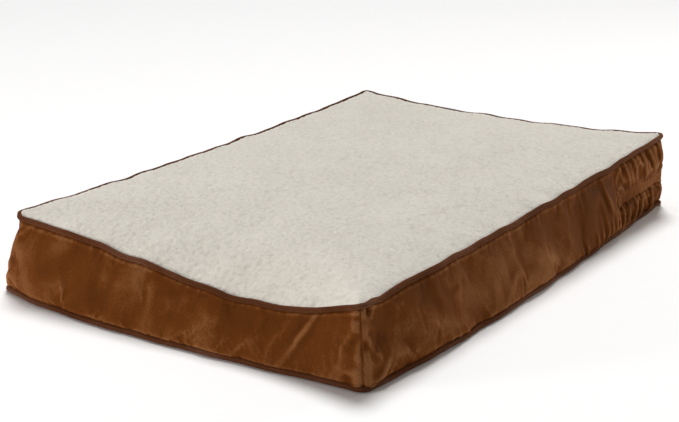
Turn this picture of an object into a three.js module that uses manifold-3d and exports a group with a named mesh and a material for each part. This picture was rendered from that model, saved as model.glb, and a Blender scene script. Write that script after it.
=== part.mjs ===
// A boxed pet cushion bed: a removable microsuede cover with a sherpa pile top, piped along both
// seams and closed by a lapped coil zip round one corner, over foam and fibre layers.
// Millimetres. X runs along the short side, Y along the long side and +Z is up. The origin is the
// centre of the footprint, on the floor.
import * as THREE from "three";
import { mergeVertices } from "three/addons/utils/BufferGeometryUtils.js";
import Module from "manifold-3d";

const wasm = await Module();
wasm.setup();

// Driving dimensions
const WIDTH = 610; // overall short side, over the piping
const LENGTH = 914; // overall long side, over the piping
const HEIGHT = 112; // floor to the top of the upper piping
const CORNER_RADIUS = 26; // of the boxing's outer face, seen from above
const CORNER_STEPS = 6; // facets in a quarter turn
const GAP = 0.3; // clearance between pieces that touch

// Cloth
const CLOTH = 1.2; // microsuede
const PILE_CLOTH = 5; // sherpa, backing and pile together
const SEAM_ALLOWANCE = 10; // cloth turned in past a seam
const CROWN = 4; // rise of the top panel from its edge to its middle

// Piping: a filler cord in a folded bias strip
const PIPING_RADIUS = 3.8;
const PIPING_CLOTH = 0.9;
const PIPING_OUT = 1.6; // the cord's centre stands this far out of the boxing's face
const PIPING_SIDES = 12;

// Foam and fibre layers, from the floor up
const CORE_INSET = 14; // from the boxing's outer face, which leaves room for the zip
const BASE_FOAM = 55;
const EGG_CRATE_BASE = 12;
const EGG_CRATE_PEAK = 26; // height of a peak over a valley
const EGG_CRATE_PITCH = 32; // from a peak to the next valley

// Zip section of the boxing
const ZIP_SEAM_RIGHT = 254; // Y of the seam on the long right side where the zip section starts
const ZIP_SEAM_BACK = -235; // X of the seam on the far short end where it stops
const FLAP_EDGE = 45; // height of the folded edge that hides the zip
const CHAIN_HEIGHT = 55; // height of the zip's centreline
const CHAIN_SPLIT = 1.2; // between the halves of the zip, where the slider's web runs
const COIL_WIDTH = 2.6;
const COIL_OUT = [-8.7, -6.9]; // depth of a coil, measured outwards from the boxing's face
const TAPE_OUT = [-9.6, -9.0];
const TAPE_WIDTH = 14;
const SLIDER_LENGTH = 12;
const SLIDER_HALF_WIDTH = 4.8;
const SLIDER_AT = -211; // X of the closed slider's middle
const PULL_LENGTH = 22;
const PULL_OUT = [-5.1, -4.1];

// Worked out from the above
const FACE_X = WIDTH / 2 - PIPING_OUT - PIPING_RADIUS; // the boxing's outer face
const FACE_Y = LENGTH / 2 - PIPING_OUT - PIPING_RADIUS;
const LOWER_SEAM = PIPING_RADIUS;
const UPPER_SEAM = HEIGHT - PIPING_RADIUS;
const FLANGE = PIPING_CLOTH + GAP / 2; // half the thickness of the piping's flange
const EGG_CRATE_FLOOR = CLOTH + GAP + BASE_FOAM + GAP;
const FIBRE_FLOOR = EGG_CRATE_FLOOR + EGG_CRATE_BASE + EGG_CRATE_PEAK + GAP;
const PILE_FLOOR = UPPER_SEAM + FLANGE + GAP;
const SEAM_TURN = (GAP / 2 / CORNER_RADIUS) * (180 / Math.PI); // half a gap at a corner, in degrees

const COLOURS = {
  sherpa: { color: "#dcd8cf", roughness: 0.95, metalness: 0 },
  suede: { color: "#6a3c1e", roughness: 0.8, metalness: 0 },
  piping: { color: "#56382a", roughness: 0.75, metalness: 0 },
  cord: { color: "#ded8cc", roughness: 0.9, metalness: 0 },
  baseFoam: { color: "#e4ddc6", roughness: 0.95, metalness: 0 },
  eggCrateFoam: { color: "#ead9a6", roughness: 0.95, metalness: 0 },
  fibre: { color: "#f2f1ec", roughness: 1, metalness: 0 },
  zipTape: { color: "#4a2c1b", roughness: 0.85, metalness: 0 },
  zipCoil: { color: "#3f2618", roughness: 0.45, metalness: 0 },
  zipMetal: { color: "#57483c", roughness: 0.35, metalness: 1 },
};

const bed = new THREE.Group();

function add(name, finish, geometry) {
  const mesh = new THREE.Mesh(geometry, new THREE.MeshStandardMaterial(COLOURS[finish]));
  mesh.name = name;
  bed.add(mesh);
}

// Booleans

function solidOf(geometry) {
  const bare = geometry.clone();
  bare.deleteAttribute("normal");
  bare.deleteAttribute("uv");
  const merged = mergeVertices(bare, 1e-4);
  const mesh = new wasm.Mesh({
    numProp: 3,
    vertProperties: merged.attributes.position.array,
    triVerts: new Uint32Array(merged.index.array),
  });
  return new wasm.Manifold(mesh);
}

function joined(geometries) {
  const solid = geometries.map(solidOf).reduce((all, one) => all.add(one));
  const mesh = solid.getMesh();
  const geometry = new THREE.BufferGeometry();
  geometry.setAttribute("position", new THREE.BufferAttribute(mesh.vertProperties, 3));
  geometry.setIndex(new THREE.BufferAttribute(mesh.triVerts, 1));
  return geometry;
}

// Stations: points along the boxing's outer face from above, each with its outward direction.
// They run anticlockwise, and a corner is named by the compass angle where it starts.

function turn(from, to) {
  const quarter = Math.floor((from + to) / 2 / 90) % 4;
  const x = (quarter === 0 || quarter === 3 ? 1 : -1) * (FACE_X - CORNER_RADIUS);
  const y = (quarter < 2 ? 1 : -1) * (FACE_Y - CORNER_RADIUS);
  const steps = Math.ceil(((to - from) / 90) * CORNER_STEPS);
  return Array.from({ length: steps + 1 }, (_, i) => {
    const angle = THREE.MathUtils.degToRad(from + ((to - from) * i) / steps);
    const out = new THREE.Vector2(Math.cos(angle), Math.sin(angle));
    return { at: new THREE.Vector2(x, y).addScaledVector(out, CORNER_RADIUS), out };
  });
}

const onRight = (y) => ({ at: new THREE.Vector2(FACE_X, y), out: new THREE.Vector2(1, 0) });
const onBack = (x) => ({ at: new THREE.Vector2(x, FACE_Y), out: new THREE.Vector2(0, 1) });

const ALL_ROUND = [...turn(0, 90), ...turn(90, 180), ...turn(180, 270), ...turn(270, 360)];
const FRONT = [...turn(225 + SEAM_TURN, 270), ...turn(270, 315 - SEAM_TURN)];
const RIGHT = [...turn(315 + SEAM_TURN, 360), onRight(ZIP_SEAM_RIGHT - GAP)];
const LEFT = [onBack(ZIP_SEAM_BACK - GAP), ...turn(90, 180), ...turn(180, 225 - SEAM_TURN)];

function zipRun(inset) {
  return [onRight(ZIP_SEAM_RIGHT + inset), ...turn(0, 90), onBack(ZIP_SEAM_BACK + inset)];
}

// Sections are drawn as points (outwards, up) and swept along stations.

function anticlockwise(points) {
  return THREE.ShapeUtils.isClockWise(points) ? points.reverse() : points;
}

function rectangle([inner, outer], bottom, top) {
  return [
    new THREE.Vector2(inner, bottom),
    new THREE.Vector2(outer, bottom),
    new THREE.Vector2(outer, top),
    new THREE.Vector2(inner, top),
  ];
}

// The section of a folded strip of cloth, from the line along its middle.
function folded(line, thickness) {
  const points = line.map(([out, up]) => new THREE.Vector2(out, up));
  const side = (sign) =>
    points.map((point, i) => {
      const before = points[Math.max(i - 1, 0)];
      const after = points[Math.min(i + 1, points.length - 1)];
      const first = point.clone().sub(before).normalize();
      const second = after.clone().sub(point).normalize();
      const along = first.clone().add(second).normalize();
      const straight = first.lengthSq() > 0 ? first : second;
      const reach = thickness / 2 / straight.dot(along);
      return point.clone().add(new THREE.Vector2(-along.y, along.x).multiplyScalar(sign * reach));
    });
  return anticlockwise([...side(1), ...side(-1).reverse()]);
}

function sweep(section, stations, closed = false) {
  const across = section.length;
  const positions = stations.flatMap(({ at, out }) =>
    section.flatMap(({ x, y }) => [at.x + x * out.x, at.y + x * out.y, y]),
  );
  const index = [];
  const spans = closed ? stations.length : stations.length - 1;
  for (let i = 0; i < spans; i++) {
    const a = i * across;
    const b = ((i + 1) % stations.length) * across;
    for (let j = 0; j < across; j++) {
      const k = (j + 1) % across;
      index.push(a + j, b + j, b + k, a + j, b + k, a + k);
    }
  }
  if (!closed) {
    const end = (stations.length - 1) * across;
    for (const [p, q, r] of THREE.ShapeUtils.triangulateShape(section, []))
      index.push(p, q, r, end + r, end + q, end + p);
  }
  const geometry = new THREE.BufferGeometry();
  geometry.setAttribute("position", new THREE.Float32BufferAttribute(positions, 3));
  geometry.setIndex(index);
  return geometry;
}

// Flat layers

function roundedOutline(inset) {
  const [x, y, r] = [FACE_X - inset, FACE_Y - inset, CORNER_RADIUS - inset];
  const shape = new THREE.Shape();
  shape.absarc(x - r, y - r, r, 0, Math.PI / 2);
  shape.absarc(r - x, y - r, r, Math.PI / 2, Math.PI);
  shape.absarc(r - x, r - y, r, Math.PI, Math.PI * 1.5);
  shape.absarc(x - r, r - y, r, Math.PI * 1.5, Math.PI * 2);
  return shape;
}

function flatLayer(inset, bottom, thickness) {
  const options = { depth: thickness, bevelEnabled: false, curveSegments: CORNER_STEPS };
  return new THREE.ExtrudeGeometry(roundedOutline(inset), options).translate(0, 0, bottom);
}

const evenly = (t) => t;
const closerAtEnds = (t) => Math.sin((t * Math.PI) / 2); // rows that follow the round corners

// A layer whose faces are height functions of (x, y) and of the grid's row and column.
function shapedLayer(inset, [rows, columns], rowAt, bottomAt, topAt) {
  const [halfX, halfY, r] = [FACE_X - inset, FACE_Y - inset, CORNER_RADIUS - inset];
  const grid = new THREE.PlaneGeometry(2, 2, columns, rows).attributes.position;
  const faces = [bottomAt, topAt].map((heightAt) => {
    const points = [];
    for (let i = 0; i < grid.count; i++) {
      const y = rowAt(grid.getY(i)) * halfY;
      const past = Math.max(0, Math.abs(y) - (halfY - r));
      const x = grid.getX(i) * (halfX - r + Math.sqrt(Math.max(0, r * r - past * past)));
      const [row, column] = [Math.floor(i / (columns + 1)), i % (columns + 1)];
      points.push(x, y, heightAt(x / halfX, y / halfY, row, column));
    }
    return points;
  });
  return closedLayer(faces, rows, columns);
}

function closedLayer([bottom, top], rows, columns) {
  const count = (rows + 1) * (columns + 1);
  const at = (row, column) => row * (columns + 1) + column;
  const index = [];
  for (let i = 0; i < rows; i++)
    for (let j = 0; j < columns; j++) {
      const [a, b, c, d] = [at(i, j), at(i + 1, j), at(i + 1, j + 1), at(i, j + 1)];
      index.push(a, c, b, a, d, c);
      index.push(count + a, count + b, count + c, count + a, count + c, count + d);
    }
  const wall = (a, b) => index.push(a, b, count + b, a, count + b, count + a);
  for (let i = 0; i < rows; i++) {
    wall(at(i, 0), at(i + 1, 0));
    wall(at(i + 1, columns), at(i, columns));
  }
  for (let j = 0; j < columns; j++) {
    wall(at(0, j + 1), at(0, j));
    wall(at(rows, j), at(rows, j + 1));
  }
  const geometry = new THREE.BufferGeometry();
  geometry.setAttribute("position", new THREE.Float32BufferAttribute([...bottom, ...top], 3));
  geometry.setIndex(index);
  return geometry;
}

const crownAt = (x, y) => CROWN * (1 - x ** 4) * (1 - y ** 4);

// Boxing: the cloth turns in under the piping's flange at both seams.

const LEG = FLANGE + GAP + CLOTH / 2; // from a seam to the middle of the turned-in cloth
const UNDER_PIPING = PIPING_RADIUS + CLOTH / 2;
const TURN_IN = 2.6; // how far back the cloth turns round the piping

function seamLegs(seam, sign) {
  return [
    [-SEAM_ALLOWANCE, seam + sign * LEG],
    [-CLOTH / 2 - TURN_IN, seam + sign * LEG],
    [-CLOTH / 2, seam + sign * UNDER_PIPING],
  ];
}

const lowerLegs = () => seamLegs(LOWER_SEAM, 1);
const upperLegs = () => seamLegs(UPPER_SEAM, -1).reverse();

function addBoxing() {
  const section = folded([...lowerLegs(), ...upperLegs()], CLOTH);
  add("front_end_panel", "suede", sweep(section, FRONT));
  add("right_side_panel", "suede", sweep(section, RIGHT));
  add("left_side_panel", "suede", sweep(section, LEFT));
}

// Piping: an open tube of cloth whose two edges lie together as a flange in the seam.

function pipingSection(seam) {
  const arc = (radius, layer) => {
    const open = Math.asin(layer / radius);
    return Array.from({ length: PIPING_SIDES + 1 }, (_, i) => {
      const angle = Math.PI - open - ((Math.PI - open) * 2 * i) / PIPING_SIDES;
      return new THREE.Vector2(
        PIPING_OUT + radius * Math.cos(angle),
        seam + radius * Math.sin(angle),
      );
    });
  };
  const tip = (up) => new THREE.Vector2(-SEAM_ALLOWANCE, seam + up);
  const outer = arc(PIPING_RADIUS, FLANGE);
  const inner = arc(PIPING_RADIUS - PIPING_CLOTH, GAP / 2).reverse();
  return anticlockwise([tip(FLANGE), ...outer, tip(-FLANGE), tip(-GAP / 2), ...inner, tip(GAP / 2)]);
}

function cordSection(seam) {
  const radius = PIPING_RADIUS - PIPING_CLOTH - GAP;
  return Array.from({ length: PIPING_SIDES - 2 }, (_, i) => {
    const angle = (Math.PI * 2 * i) / (PIPING_SIDES - 2);
    const [out, up] = [radius * Math.cos(angle), radius * Math.sin(angle)];
    return new THREE.Vector2(PIPING_OUT + out * 0.97, seam + up * 0.97);
  });
}

function addPiping() {
  for (const [name, seam] of [["top", UPPER_SEAM], ["bottom", LOWER_SEAM]]) {
    add(`${name}_piping_cover`, "piping", sweep(pipingSection(seam), ALL_ROUND, true));
    add(`${name}_piping_cord`, "cord", sweep(cordSection(seam), ALL_ROUND, true));
  }
}

// Top, base and the layers inside

function addPanels() {
  const edge = PIPING_RADIUS - PIPING_OUT + GAP * 2;
  const under = (x, y) => PILE_FLOOR + crownAt(x, y);
  const over = (x, y) => under(x, y) + PILE_CLOTH - GAP;
  add("sherpa_top_panel", "sherpa", shapedLayer(edge, [26, 14], closerAtEnds, under, over));
  add("base_panel", "suede", flatLayer(edge, 0, CLOTH));
}

function addCore() {
  add("base_foam", "baseFoam", flatLayer(CORE_INSET, CLOTH + GAP, BASE_FOAM));
  const cells = (span) => Math.round((2 * (span - CORE_INSET)) / EGG_CRATE_PITCH / 2) * 2;
  const eggCrateTop = (x, y, row, column) =>
    EGG_CRATE_FLOOR + EGG_CRATE_BASE + ((row + column) % 2 ? EGG_CRATE_PEAK : 0);
  const grid = [cells(FACE_Y), cells(FACE_X)];
  add(
    "egg_crate_foam",
    "eggCrateFoam",
    shapedLayer(CORE_INSET, grid, evenly, () => EGG_CRATE_FLOOR, eggCrateTop),
  );
  const fibreTop = (x, y) => PILE_FLOOR - GAP + crownAt(x, y);
  add(
    "fibre_fill_pad",
    "fibre",
    shapedLayer(CORE_INSET, [20, 12], closerAtEnds, () => FIBRE_FLOOR, fibreTop),
  );
}

// Zip section: an upper strip folded down over the zip, and a lower strip set back behind it.

function addZipStrips() {
  const stitchLeg = TAPE_OUT[1] + GAP + CLOTH / 2;
  const lapBack = -CLOTH / 2 - 1.7;
  const foldHeight = FLAP_EDGE + CLOTH / 2;
  const upper = [
    [stitchLeg, CHAIN_HEIGHT + TAPE_WIDTH],
    [stitchLeg, CHAIN_HEIGHT + 8.5],
    [lapBack, CHAIN_HEIGHT + 7],
    [lapBack, foldHeight],
    [-CLOTH / 2, foldHeight],
    ...upperLegs(),
  ];
  const setBack = PULL_OUT[0] - GAP - CLOTH / 2;
  const stripTop = CHAIN_HEIGHT - SLIDER_HALF_WIDTH - 1.7 - CLOTH / 2;
  const lower = [
    ...lowerLegs(),
    [-CLOTH / 2, 16],
    [setBack, FLAP_EDGE - 16],
    [setBack, stripTop],
    [stitchLeg, stripTop],
    [stitchLeg, CHAIN_HEIGHT - TAPE_WIDTH],
  ];
  add("zip_upper_strip", "suede", sweep(folded(upper, CLOTH), zipRun(0)));
  add("zip_lower_strip", "suede", sweep(folded(lower, CLOTH), zipRun(0)));
}

function addZipChain() {
  const inner = CHAIN_SPLIT / 2;
  const coil = (sign) => [
    CHAIN_HEIGHT + Math.min(sign * inner, sign * (inner + COIL_WIDTH)),
    CHAIN_HEIGHT + Math.max(sign * inner, sign * (inner + COIL_WIDTH)),
  ];
  const tape = (sign) => [
    CHAIN_HEIGHT + Math.min(sign * inner, sign * TAPE_WIDTH),
    CHAIN_HEIGHT + Math.max(sign * inner, sign * TAPE_WIDTH),
  ];
  const stopLength = 3;
  const coilInset = SLIDER_AT - SLIDER_LENGTH / 2 - 1 - ZIP_SEAM_BACK;
  const topStop = [onBack(SLIDER_AT - SLIDER_LENGTH / 2 - 1 - GAP)];
  topStop.push(onBack(topStop[0].at.x - stopLength));
  const bottomStop = [onRight(ZIP_SEAM_RIGHT + coilInset - GAP - stopLength)];
  bottomStop.push(onRight(ZIP_SEAM_RIGHT + coilInset - GAP));
  for (const [name, sign] of [["upper", 1], ["lower", -1]]) {
    add(`zip_tape_${name}`, "zipTape", sweep(rectangle(TAPE_OUT, ...tape(sign)), zipRun(1)));
    add(`zip_coil_${name}`, "zipCoil", sweep(rectangle(COIL_OUT, ...coil(sign)), zipRun(coilInset)));
    add(`zip_top_stop_${name}`, "zipMetal", sweep(rectangle(COIL_OUT, ...coil(sign)), topStop));
  }
  const whole = [coil(-1)[0], coil(1)[1]];
  add("zip_bottom_stop", "zipMetal", sweep(rectangle(COIL_OUT, ...whole), bottomStop));
}

// Slider and pull tab. Their flat shapes are drawn in X and Z and stand out along +Y.

function standingPlate(shape, [inner, outer]) {
  const options = { depth: outer - inner, bevelEnabled: false, curveSegments: 6 };
  return new THREE.ExtrudeGeometry(shape, options)
    .rotateX(Math.PI / 2)
    .translate(SLIDER_AT, FACE_Y + outer, CHAIN_HEIGHT);
}

function block([x0, x1], [out0, out1], [z0, z1]) {
  return new THREE.BoxGeometry(x1 - x0, out1 - out0, z1 - z0).translate(
    SLIDER_AT + (x0 + x1) / 2,
    FACE_Y + (out0 + out1) / 2,
    CHAIN_HEIGHT + (z0 + z1) / 2,
  );
}

function post(radius, [inner, outer], sides = 16) {
  return new THREE.CylinderGeometry(radius, radius, outer - inner, sides).translate(
    SLIDER_AT,
    FACE_Y + (inner + outer) / 2,
    CHAIN_HEIGHT,
  );
}

const SLIDER_FACE = PULL_OUT[0] - GAP; // outer face of the slider's outer plate
const PLATE = 1.2;
const POST_RADIUS = 1.2;
const POST_HEAD = [PULL_OUT[1] + GAP, PULL_OUT[1] + GAP + 0.5];

function sliderOutline() {
  const [half, wide] = [SLIDER_LENGTH / 2, SLIDER_HALF_WIDTH];
  const shape = new THREE.Shape();
  shape.moveTo(-half, wide - 1);
  shape.quadraticCurveTo(-half, -wide * 0.2, -half, 1 - wide);
  shape.quadraticCurveTo(-half, -wide, 1 - half, -wide);
  shape.lineTo(half - 3, -wide);
  shape.quadraticCurveTo(half, -wide, half, -wide * 0.3);
  shape.lineTo(half, wide * 0.3);
  shape.quadraticCurveTo(half, wide, half - 3, wide);
  shape.lineTo(1 - half, wide);
  shape.quadraticCurveTo(-half, wide, -half, wide - 1);
  return shape;
}

function addSlider() {
  const webHalf = CHAIN_SPLIT / 2 - GAP;
  const ends = [-SLIDER_LENGTH / 2 + 1.2, SLIDER_LENGTH / 2 - 3.2];
  const innerPlate = [TAPE_OUT[0] - GAP - PLATE, TAPE_OUT[0] - GAP];
  const lip = [TAPE_OUT[1] + GAP, SLIDER_FACE - PLATE / 2];
  const rail = [SLIDER_HALF_WIDTH - 1.2, SLIDER_HALF_WIDTH];
  add(
    "zip_slider",
    "zipMetal",
    joined([
      standingPlate(sliderOutline(), [SLIDER_FACE - PLATE, SLIDER_FACE]),
      standingPlate(sliderOutline(), innerPlate),
      block(ends, [innerPlate[1] - PLATE / 2, SLIDER_FACE - PLATE / 2], [-webHalf, webHalf]),
      block(ends, lip, rail),
      block(ends, lip, [-rail[1], -rail[0]]),
      post(POST_RADIUS, [SLIDER_FACE - PLATE / 2, POST_HEAD[1]]),
      post(POST_RADIUS + 1, POST_HEAD),
    ]),
  );
}

function addPullTab() {
  const [eye, tip] = [3.2, 3.6];
  const shape = new THREE.Shape();
  shape.absarc(0, 0, eye, 0, Math.PI);
  shape.lineTo(-2.4, -7);
  shape.lineTo(-tip, tip - PULL_LENGTH);
  shape.absarc(0, tip - PULL_LENGTH, tip, Math.PI, Math.PI * 2);
  shape.lineTo(2.4, -7);
  const eyeHole = new THREE.Path().absarc(0, 0, POST_RADIUS + GAP, 0, Math.PI * 2, true);
  const gripHole = new THREE.Path().absarc(0, tip - PULL_LENGTH, 1.5, 0, Math.PI * 2, true);
  shape.holes.push(eyeHole, gripHole);
  add("zip_pull_tab", "zipMetal", standingPlate(shape, PULL_OUT));
}

addPanels();
addBoxing();
addPiping();
addCore();
addZipStrips();
addZipChain();
addSlider();
addPullTab();

export default bed;
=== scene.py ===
"""A boxed pet cushion bed: a sherpa top, piped microsuede sides, a lapped zip and foam inside."""

import math

import bpy
import numpy as np
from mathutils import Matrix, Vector, noise


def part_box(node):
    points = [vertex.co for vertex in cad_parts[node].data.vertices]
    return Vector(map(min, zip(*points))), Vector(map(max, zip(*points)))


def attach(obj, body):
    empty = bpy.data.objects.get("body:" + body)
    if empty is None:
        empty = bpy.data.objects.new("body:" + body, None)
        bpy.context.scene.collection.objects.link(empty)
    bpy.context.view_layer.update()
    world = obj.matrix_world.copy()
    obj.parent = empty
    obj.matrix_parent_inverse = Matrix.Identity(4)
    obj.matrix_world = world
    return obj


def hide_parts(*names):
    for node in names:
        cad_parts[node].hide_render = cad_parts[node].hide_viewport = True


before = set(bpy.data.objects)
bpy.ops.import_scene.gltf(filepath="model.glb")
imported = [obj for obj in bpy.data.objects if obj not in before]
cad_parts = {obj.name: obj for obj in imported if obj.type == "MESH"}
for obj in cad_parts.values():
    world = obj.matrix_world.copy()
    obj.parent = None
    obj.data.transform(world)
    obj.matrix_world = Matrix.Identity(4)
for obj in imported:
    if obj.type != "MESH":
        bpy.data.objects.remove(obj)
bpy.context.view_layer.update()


# Sizes, from the frame


def low(name):
    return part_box(name)[0]


def high(name):
    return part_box(name)[1]


MM = 0.001
CLOTH = 1.2 * MM
CORNER = 26 * MM  # radius of the boxing, seen from above
FACE_X = high("right_side_panel").x
FACE_Y = -low("front_end_panel").y
PIPING = (high("top_piping_cover").z - low("top_piping_cover").z) / 2
PIPING_OUT = high("top_piping_cover").x - FACE_X - PIPING
LOWER_SEAM = (low("bottom_piping_cover").z + high("bottom_piping_cover").z) / 2
UPPER_SEAM = (low("top_piping_cover").z + high("top_piping_cover").z) / 2
ZIP_SEAM_Y = high("right_side_panel").y
ZIP_SEAM_X = low("zip_upper_strip").x
FLAP_EDGE = low("zip_upper_strip").z
CHAIN = (low("zip_slider").z + high("zip_slider").z) / 2

# The way round the bed runs anticlockwise from the near corner, in metres. Each of the four
# sides goes from the middle of one corner to the middle of the next.

LONG = 2 * (FACE_Y - CORNER) + math.pi / 2 * CORNER
SHORT = 2 * (FACE_X - CORNER) + math.pi / 2 * CORNER
ROUND = 2 * (LONG + SHORT)
RIGHT, BACK, LEFT, FRONT = range(4)
STARTS = np.array([0, LONG, LONG + SHORT, 2 * LONG + SHORT])
LENGTHS = np.array([LONG, SHORT, LONG, SHORT])
OUTWARD = np.array([[1, 0], [0, 1], [-1, 0], [0, -1]], float)
ONWARD = np.array([[0, 1], [-1, 0], [0, -1], [1, 0]], float)
HALF_STRAIGHT = np.array([FACE_Y, FACE_X, FACE_Y, FACE_X]) - CORNER
FACE_AT = np.array([FACE_X, FACE_Y, FACE_X, FACE_Y])
NEAR_CORNER, LEFT_CORNER = ROUND, STARTS[FRONT]
ZIP_START = ZIP_SEAM_Y + LONG / 2
ZIP_END = STARTS[BACK] + SHORT / 2 - ZIP_SEAM_X


def where(s):
    """The side that s is on, and how far along it, from 0 to 1."""
    s = np.asarray(s, float) % ROUND
    side = np.searchsorted(STARTS, s, side="right") - 1
    return side, (s - STARTS[side]) / LENGTHS[side]


def around(s):
    """Points on the boxing's face seen from above, and the outward directions there."""
    side, along = where(s)
    past_middle = (along - 0.5) * LENGTHS[side]
    turned = np.sign(past_middle) * np.maximum(np.abs(past_middle) - HALF_STRAIGHT[side], 0)
    angle = (turned / CORNER)[:, None]
    out = OUTWARD[side] * np.cos(angle) + ONWARD[side] * np.sin(angle)
    straight = np.clip(past_middle, -HALF_STRAIGHT[side], HALF_STRAIGHT[side])[:, None]
    centre = OUTWARD[side] * (FACE_AT[side] - CORNER)[:, None] + ONWARD[side] * straight
    return centre + out * CORNER, out


def ripple(s, waves, seed):
    """A wavy line round the bed, between about -1 and 1, that meets itself."""
    phases = np.random.default_rng(seed).uniform(0, 2 * math.pi, len(waves))
    turns = 2 * math.pi * np.asarray(s, float) / ROUND
    return sum(np.sin(n * turns + p) for n, p in zip(waves, phases)) / math.sqrt(len(waves))


# How the stuffed cover has settled. The upper seam hangs between its four corners, lowest on
# the front end, which has been leaned on, and the lower seam is pushed out between them. The
# corners come in the order near, right, far and left, and the sides follow them.

RISE = np.array([-4, 12, 6, 1]) * MM  # the upper seam's, at the corners
HANG = np.array([6, 13, 8, 3]) * MM
DIP = 30 * MM
DIP_SKEW = 2.0  # puts the lowest place seven tenths of the way along the front end
PUSHED_OUT = np.array([19, 12, 10, 25]) * MM
PUSHED_SKEW = np.array([0.72, 1.0, 1.0, 0.68])
PULLED_IN = 6 * MM  # the upper seam's, all the way round
SPREAD = np.array([8, -6, 2, 6]) * MM  # the lower seam's, outwards at the corners
SQUARE_TOP = np.array([8, 3, 8, -3]) * MM  # how far corners stand out of the round ones
SQUARE_FOOT = np.array([11, 9, 11, 7]) * MM
TUCKED_UNDER = 0.8 * MM  # of the lower piping, by the weight on it
KINK, KINK_AT = 3 * MM, 42 * MM  # in the upper seam, beside the near corner


def between_corners(values, s):
    """A value for each corner, blended along the sides."""
    side, along = where(s)
    return values[side] + (values[(side + 1) % 4] - values[side]) * along


def hump(x, middle, width):
    return np.exp(-(((x - middle) / width) ** 2))


def corner(s):
    """1 in the middle of each corner, falling to 0 beside it."""
    side, along = where(s)
    return hump(np.minimum(along, 1 - along) * LENGTHS[side], 0, 15 * MM)


def squared(corners, s, width):
    """How far the cloth stands out of the boxing's round corners."""
    side, along = where(s)
    beside = np.minimum(along, 1 - along) * LENGTHS[side]
    return corners[(side + (along > 0.5)) % 4] * hump(beside, 0, width)


def past_near(s):
    """The way from the near corner, positive along the right side and negative at the front."""
    s = np.asarray(s, float) % ROUND
    return np.where(s > ROUND / 2, s - ROUND, s)


def upper_level(s):
    side, along = where(s)
    hang = HANG[side] * (1 - np.abs(2 * along - 1) ** 2.6)
    dip = np.where(side == FRONT, DIP * np.sin(math.pi * along**DIP_SKEW), 0)
    waves = 1.1 * MM * ripple(s, (19, 27, 34, 47), 5) * np.sin(math.pi * along) ** 0.5
    kink = KINK * hump(past_near(s), KINK_AT, 15 * MM)
    return UPPER_SEAM + between_corners(RISE, s) - hang - dip - waves - kink


def upper_out(s):
    _, along = where(s)
    waves = 1.0 * MM * ripple(s, (17, 23, 31), 8) * np.sin(math.pi * along)
    return squared(SQUARE_TOP, s, 13 * MM) - PULLED_IN + waves


def lower_out(s):
    side, along = where(s)
    pushed = PUSHED_OUT[side] * np.sin(math.pi * along ** PUSHED_SKEW[side])
    waves = 0.8 * MM * ripple(s, (21, 29, 37), 3)
    return pushed + between_corners(SPREAD, s) + squared(SQUARE_FOOT, s, 9 * MM) + waves


def place(s, out, up):
    """Points in space, from the way round, the distance out of the boxing's face and height."""
    at, outward = around(s)
    flat = at + outward * np.asarray(out)[:, None]
    return np.column_stack([flat, up])


NOISE_GAIN = 1.6  # soft noise seldom passes 0.6 either way


def creases(s, up, wide, tall, seed):
    """Soft noise over the sides, about wide by tall, from about -1 to 1."""
    radius = ROUND / (2 * math.pi)
    angle = np.asarray(s) / radius
    spots = np.column_stack(
        [np.cos(angle) * radius / wide + seed, np.sin(angle) * radius / wide, up / tall]
    )
    return np.array([noise.noise(Vector(spot)) for spot in spots]) * NOISE_GAIN


# Meshes


def mesh_object(name, points, faces):
    mesh = bpy.data.meshes.new(name)
    mesh.from_pydata([tuple(p) for p in points], [], [tuple(f) for f in faces])
    mesh.update()
    obj = bpy.data.objects.new(name, mesh)
    bpy.context.scene.collection.objects.link(obj)
    mesh.polygons.foreach_set("use_smooth", [True] * len(mesh.polygons))
    return obj


def grid_faces(rows, columns, joined=False):
    """Faces of a grid of rows by columns points. Joined, its last row meets its first."""
    r, c = np.meshgrid(
        np.arange(rows if joined else rows - 1), np.arange(columns - 1), indexing="ij"
    )
    a = (r * columns + c).ravel()
    b = (((r + 1) % rows) * columns + c).ravel()
    return np.column_stack([a, b, b + 1, a + 1])


def apply_all(obj):
    bpy.ops.object.select_all(action="DESELECT")
    obj.select_set(True)
    bpy.context.view_layer.objects.active = obj
    for modifier in list(obj.modifiers):
        bpy.ops.object.modifier_apply(modifier=modifier.name)


def apply(obj, kind, **settings):
    modifier = obj.modifiers.new(kind.lower(), kind)
    for key, value in settings.items():
        setattr(modifier, key, value)
    apply_all(obj)


def points_of(obj):
    flat = np.zeros(len(obj.data.vertices) * 3)
    obj.data.vertices.foreach_get("co", flat)
    return flat.reshape(-1, 3)


SETTLING = 16  # frames, enough for the buckles to form
SUEDE_WEIGHT_AND_STIFFNESS = {
    "quality": 7,
    "mass": 0.25,
    "tension_stiffness": 30,
    "compression_stiffness": 30,
    "shear_stiffness": 12,
    "bending_stiffness": 0.35,
    "air_damping": 4,
}


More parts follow.
